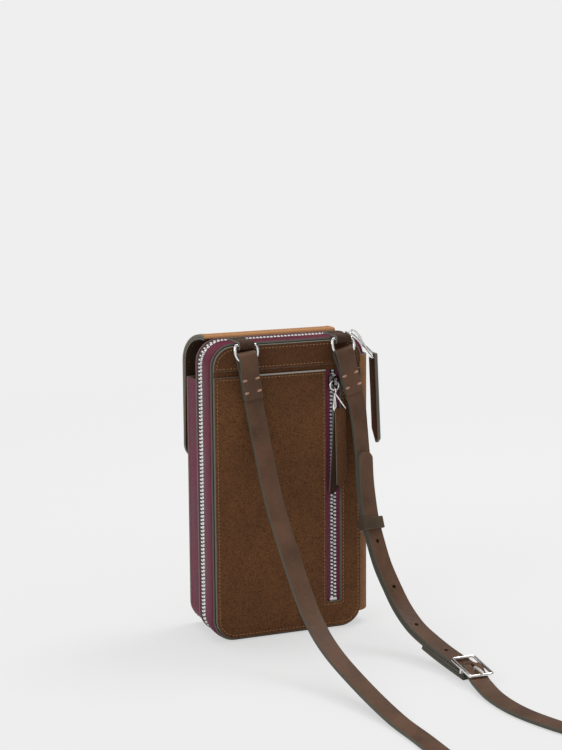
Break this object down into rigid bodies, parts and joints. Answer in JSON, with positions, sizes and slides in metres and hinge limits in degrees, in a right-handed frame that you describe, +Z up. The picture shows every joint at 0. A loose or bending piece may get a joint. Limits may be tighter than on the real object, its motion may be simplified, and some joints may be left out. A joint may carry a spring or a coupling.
{
  "type": "phone pouch",
  "caption": "Zip-around leather pouch with a flapped phone pocket, a zipped back pocket and a long buckled shoulder strap on D-rings.",
  "frame": {"origin": "centre of the base, on the surface that the pouch stands on", "axes": "+Z up, -Y towards the flap, +Y towards the back panel, +X towards the main zip's side, -X towards the spine"},
  "size_m": [0.1538, 0.47, 0.1925],
  "materials": {
    "panel_leather": "matte",
    "gusset_leather": "satin",
    "strap_leather": "satin",
    "zip_tape": "matte",
    "zip_teeth": "satin",
    "metal": "polished",
    "lining": "matte",
    "magnet": "polished",
    "thread": "satin"
  },
  "bodies": {
    "back_half": {"back_panel": "panel_leather", "pocket_panel": "panel_leather", "top_band": "panel_leather", "back_gusset": "gusset_leather", "spine": "panel_leather", "main_zip_tape_back": "zip_tape", "main_zip_teeth_back": "zip_teeth", "main_zip_stop": "metal", "back_zip_tape_left": "zip_tape", "back_zip_tape_right": "zip_tape", "back_zip_teeth_left": "zip_teeth", "back_zip_teeth_right": "zip_teeth", "back_zip_stops": "zip_teeth", "zip_pocket_bag": "lining", "tab_left": "panel_leather", "tab_right": "panel_leather", "strap_long": "strap_leather", "strap_short": "strap_leather", "strap_fold_tail": "strap_leather", "buckle_frame": "metal"},
    "front_half": {"front_band": "gusset_leather", "main_zip_tape_front": "zip_tape", "main_zip_teeth_front": "zip_teeth", "front_panel": "panel_leather", "card_pockets": "lining", "phone_pocket_gusset": "gusset_leather", "phone_pocket_front": "panel_leather", "pocket_magnet": "magnet"},
    "flap": {"flap": "panel_leather", "flap_lining": "panel_leather", "flap_magnet": "magnet"},
    "main_slider": {"main_slider": "metal"},
    "main_pull": {"main_puller": "metal", "main_pull_leather": "panel_leather"},
    "back_slider": {"back_slider": "metal"},
    "back_ring": {"back_pull_ring": "metal"},
    "back_pull": {"back_pull_bail": "metal", "back_pull_leather": "panel_leather"},
    "ring_left": {"d_ring_left": "metal", "strap_end_left": "strap_leather", "strap_stitches_left": "thread"},
    "ring_right": {"d_ring_right": "metal", "strap_end_right": "strap_leather", "strap_stitches_right": "thread"},
    "prong": {"buckle_prong": "metal"},
    "keeper": {"sliding_keeper": "strap_leather"}
  },
  "joints": [
    {"name": "front_opens", "type": "hinge", "parent": "back_half", "child": "front_half", "pos_m": [-0.0508, -0.0023, 0.095], "axis": [0, 0, -1], "range_deg": [0, 60]},
    {"name": "flap_lifts", "type": "hinge", "parent": "front_half", "child": "flap", "pos_m": [0, -0.005, 0.1908], "axis": [-1, 0, 0], "range_deg": [0, 120]},
    {"name": "main_slider_moves", "type": "hinge", "parent": "back_half", "child": "main_slider", "pos_m": [-0.044, 0.0045, 0.176], "axis": [0, -1, 0], "range_deg": [-22, 0]},
    {"name": "main_pull_swings", "type": "hinge", "parent": "main_slider", "child": "main_pull", "pos_m": [-0.05801, 0.0045, 0.18527], "axis": [0, 1, 0], "range_deg": [0, 80]},
    {"name": "back_slider_moves", "type": "slide", "parent": "back_half", "child": "back_slider", "axis": [0, 0, -1], "range_m": [0, 0.135]},
    {"name": "back_ring_swings", "type": "hinge", "parent": "back_slider", "child": "back_ring", "pos_m": [-0.0308, 0.0261, 0.16295], "axis": [1, 0, 0], "range_deg": [0, 45]},
    {"name": "back_pull_swings", "type": "hinge", "parent": "back_ring", "child": "back_pull", "pos_m": [-0.0308, 0.02735, 0.15708], "axis": [1, 0, 0], "range_deg": [0, 30]},
    {"name": "left_ring_swings", "type": "hinge", "parent": "back_half", "child": "ring_left", "pos_m": [0.0298, 0.02825, 0.1896], "axis": [1, 0, 0], "range_deg": [0, 15]},
    {"name": "right_ring_swings", "type": "hinge", "parent": "back_half", "child": "ring_right", "pos_m": [-0.0359, 0.02825, 0.1896], "axis": [1, 0, 0], "range_deg": [0, 15]},
    {"name": "prong_lifts", "type": "hinge", "parent": "back_half", "child": "prong", "pos_m": [-0.06349, 0.15091, 0.00541], "axis": [0.9995, 0.0259, 0.0175], "range_deg": [0, 90]},
    {"name": "keeper_slides", "type": "slide", "parent": "back_half", "child": "keeper", "axis": [-0.0369, 0.3869, -0.9214], "range_m": [-0.005, 0.008]}
  ]
}
